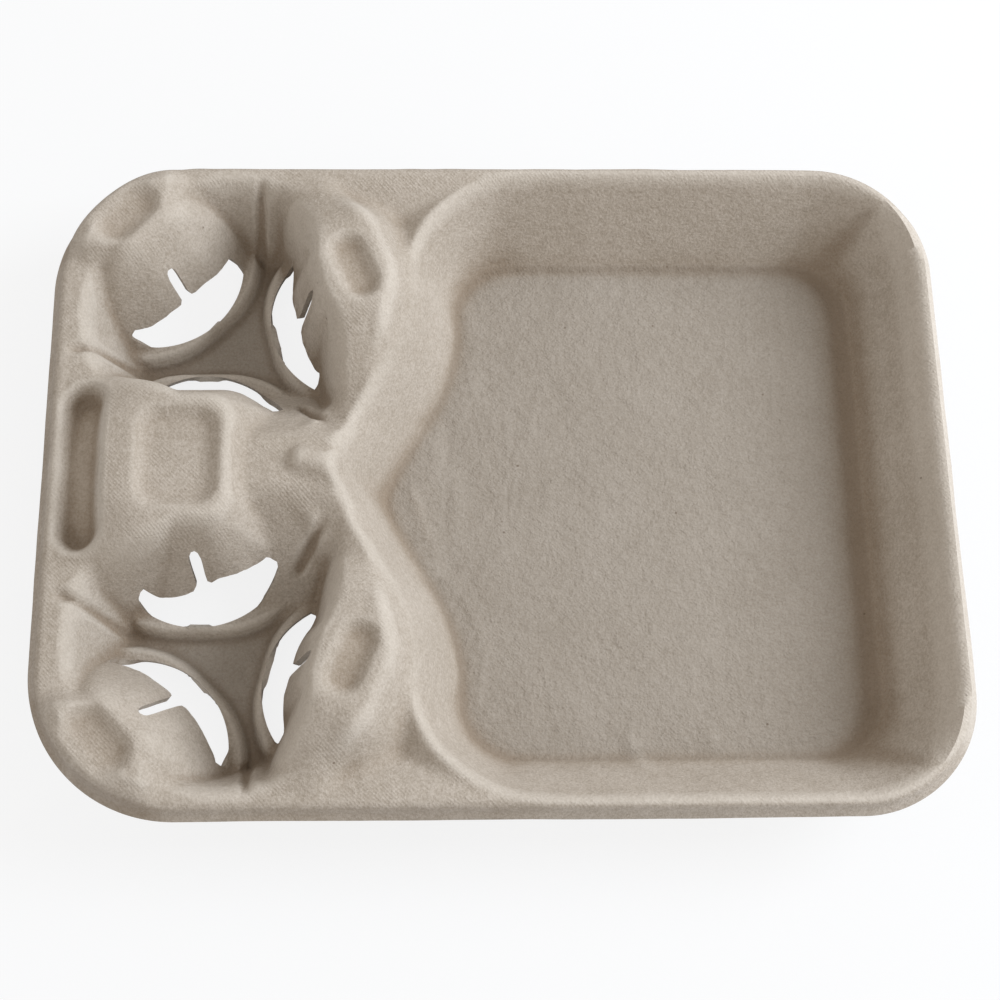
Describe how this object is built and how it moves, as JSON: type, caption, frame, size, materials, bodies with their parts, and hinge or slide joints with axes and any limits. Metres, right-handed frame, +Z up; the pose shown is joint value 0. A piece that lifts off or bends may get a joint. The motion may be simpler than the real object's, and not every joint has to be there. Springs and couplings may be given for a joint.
{
  "type": "moulded pulp cup carrier tray",
  "caption": "Moulded paper-pulp carry-out tray: cup wells with gripping posts and slit flaps beside a deep food compartment, with a rolled rim and a finger slot.",
  "frame": {"origin": "middle of the tray in plan, on the surface that it stands on", "axes": "+X from the cup wells to the food compartment, along the tray's length; +Z up, out of the wells"},
  "size_m": [0.3, 0.227, 0.053],
  "materials": {
    "pulp": "matte, fibrous, grey-tan"
  },
  "bodies": {
    "root": {"moulded_tray": "pulp"}
  },
  "joints": []
}
